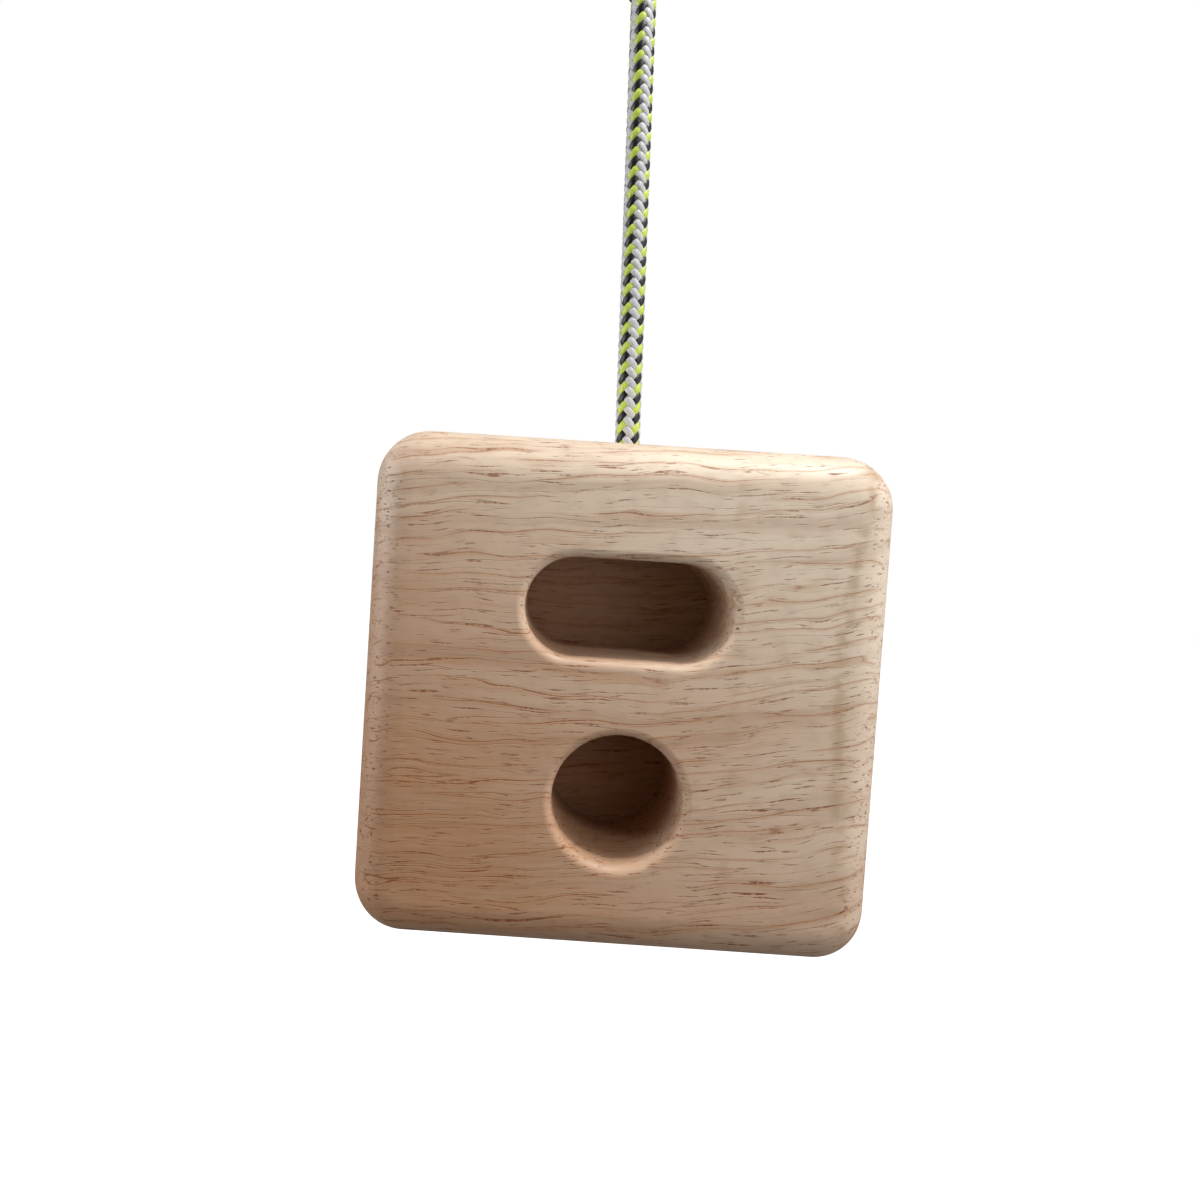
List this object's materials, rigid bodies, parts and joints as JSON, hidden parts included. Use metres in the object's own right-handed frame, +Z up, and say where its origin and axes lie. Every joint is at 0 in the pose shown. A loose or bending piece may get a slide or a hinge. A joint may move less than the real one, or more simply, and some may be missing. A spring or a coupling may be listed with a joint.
{
  "type": "hanging finger-training block",
  "caption": "Rounded hardwood block with a slot and a round finger pocket, hung on one braided cord with a loop and knots.",
  "frame": {"origin": "inside the top of the hanging loop, where the hanger bears", "axes": "+Z up along the cord and its channel, -Y towards the face with the finger pockets, +X to the right seen from that face"},
  "size_m": [0.101, 0.058, 0.3473],
  "materials": {
    "hardwood": "sanded and lightly oiled",
    "braided_cord": "braided polyester cover in light grey, black and lime"
  },
  "bodies": {
    "loop": {"hanging_loop": "braided_cord", "loop_knot": "braided_cord", "loop_tail": "braided_cord"},
    "cord": {"standing_cord": "braided_cord"},
    "stopper": {"channel_cord": "braided_cord", "stopper_knot": "braided_cord", "stopper_tail": "braided_cord"},
    "block": {"wooden_block": "hardwood"}
  },
  "joints": [
    {"name": "cord_swing", "type": "hinge", "parent": "loop", "child": "cord", "pos_m": [0, 0, -0.1053], "axis": [0, 1, 0], "range_deg": [-45, 45]},
    {"name": "block_tilt", "type": "hinge", "parent": "cord", "child": "stopper", "pos_m": [0, 0, -0.232], "axis": [1, 0, 0], "range_deg": [-30, 30]},
    {"name": "block_spin", "type": "hinge", "parent": "stopper", "child": "block", "pos_m": [0, 0, -0.2815], "axis": [0, 0, 1], "continuous": true}
  ]
}
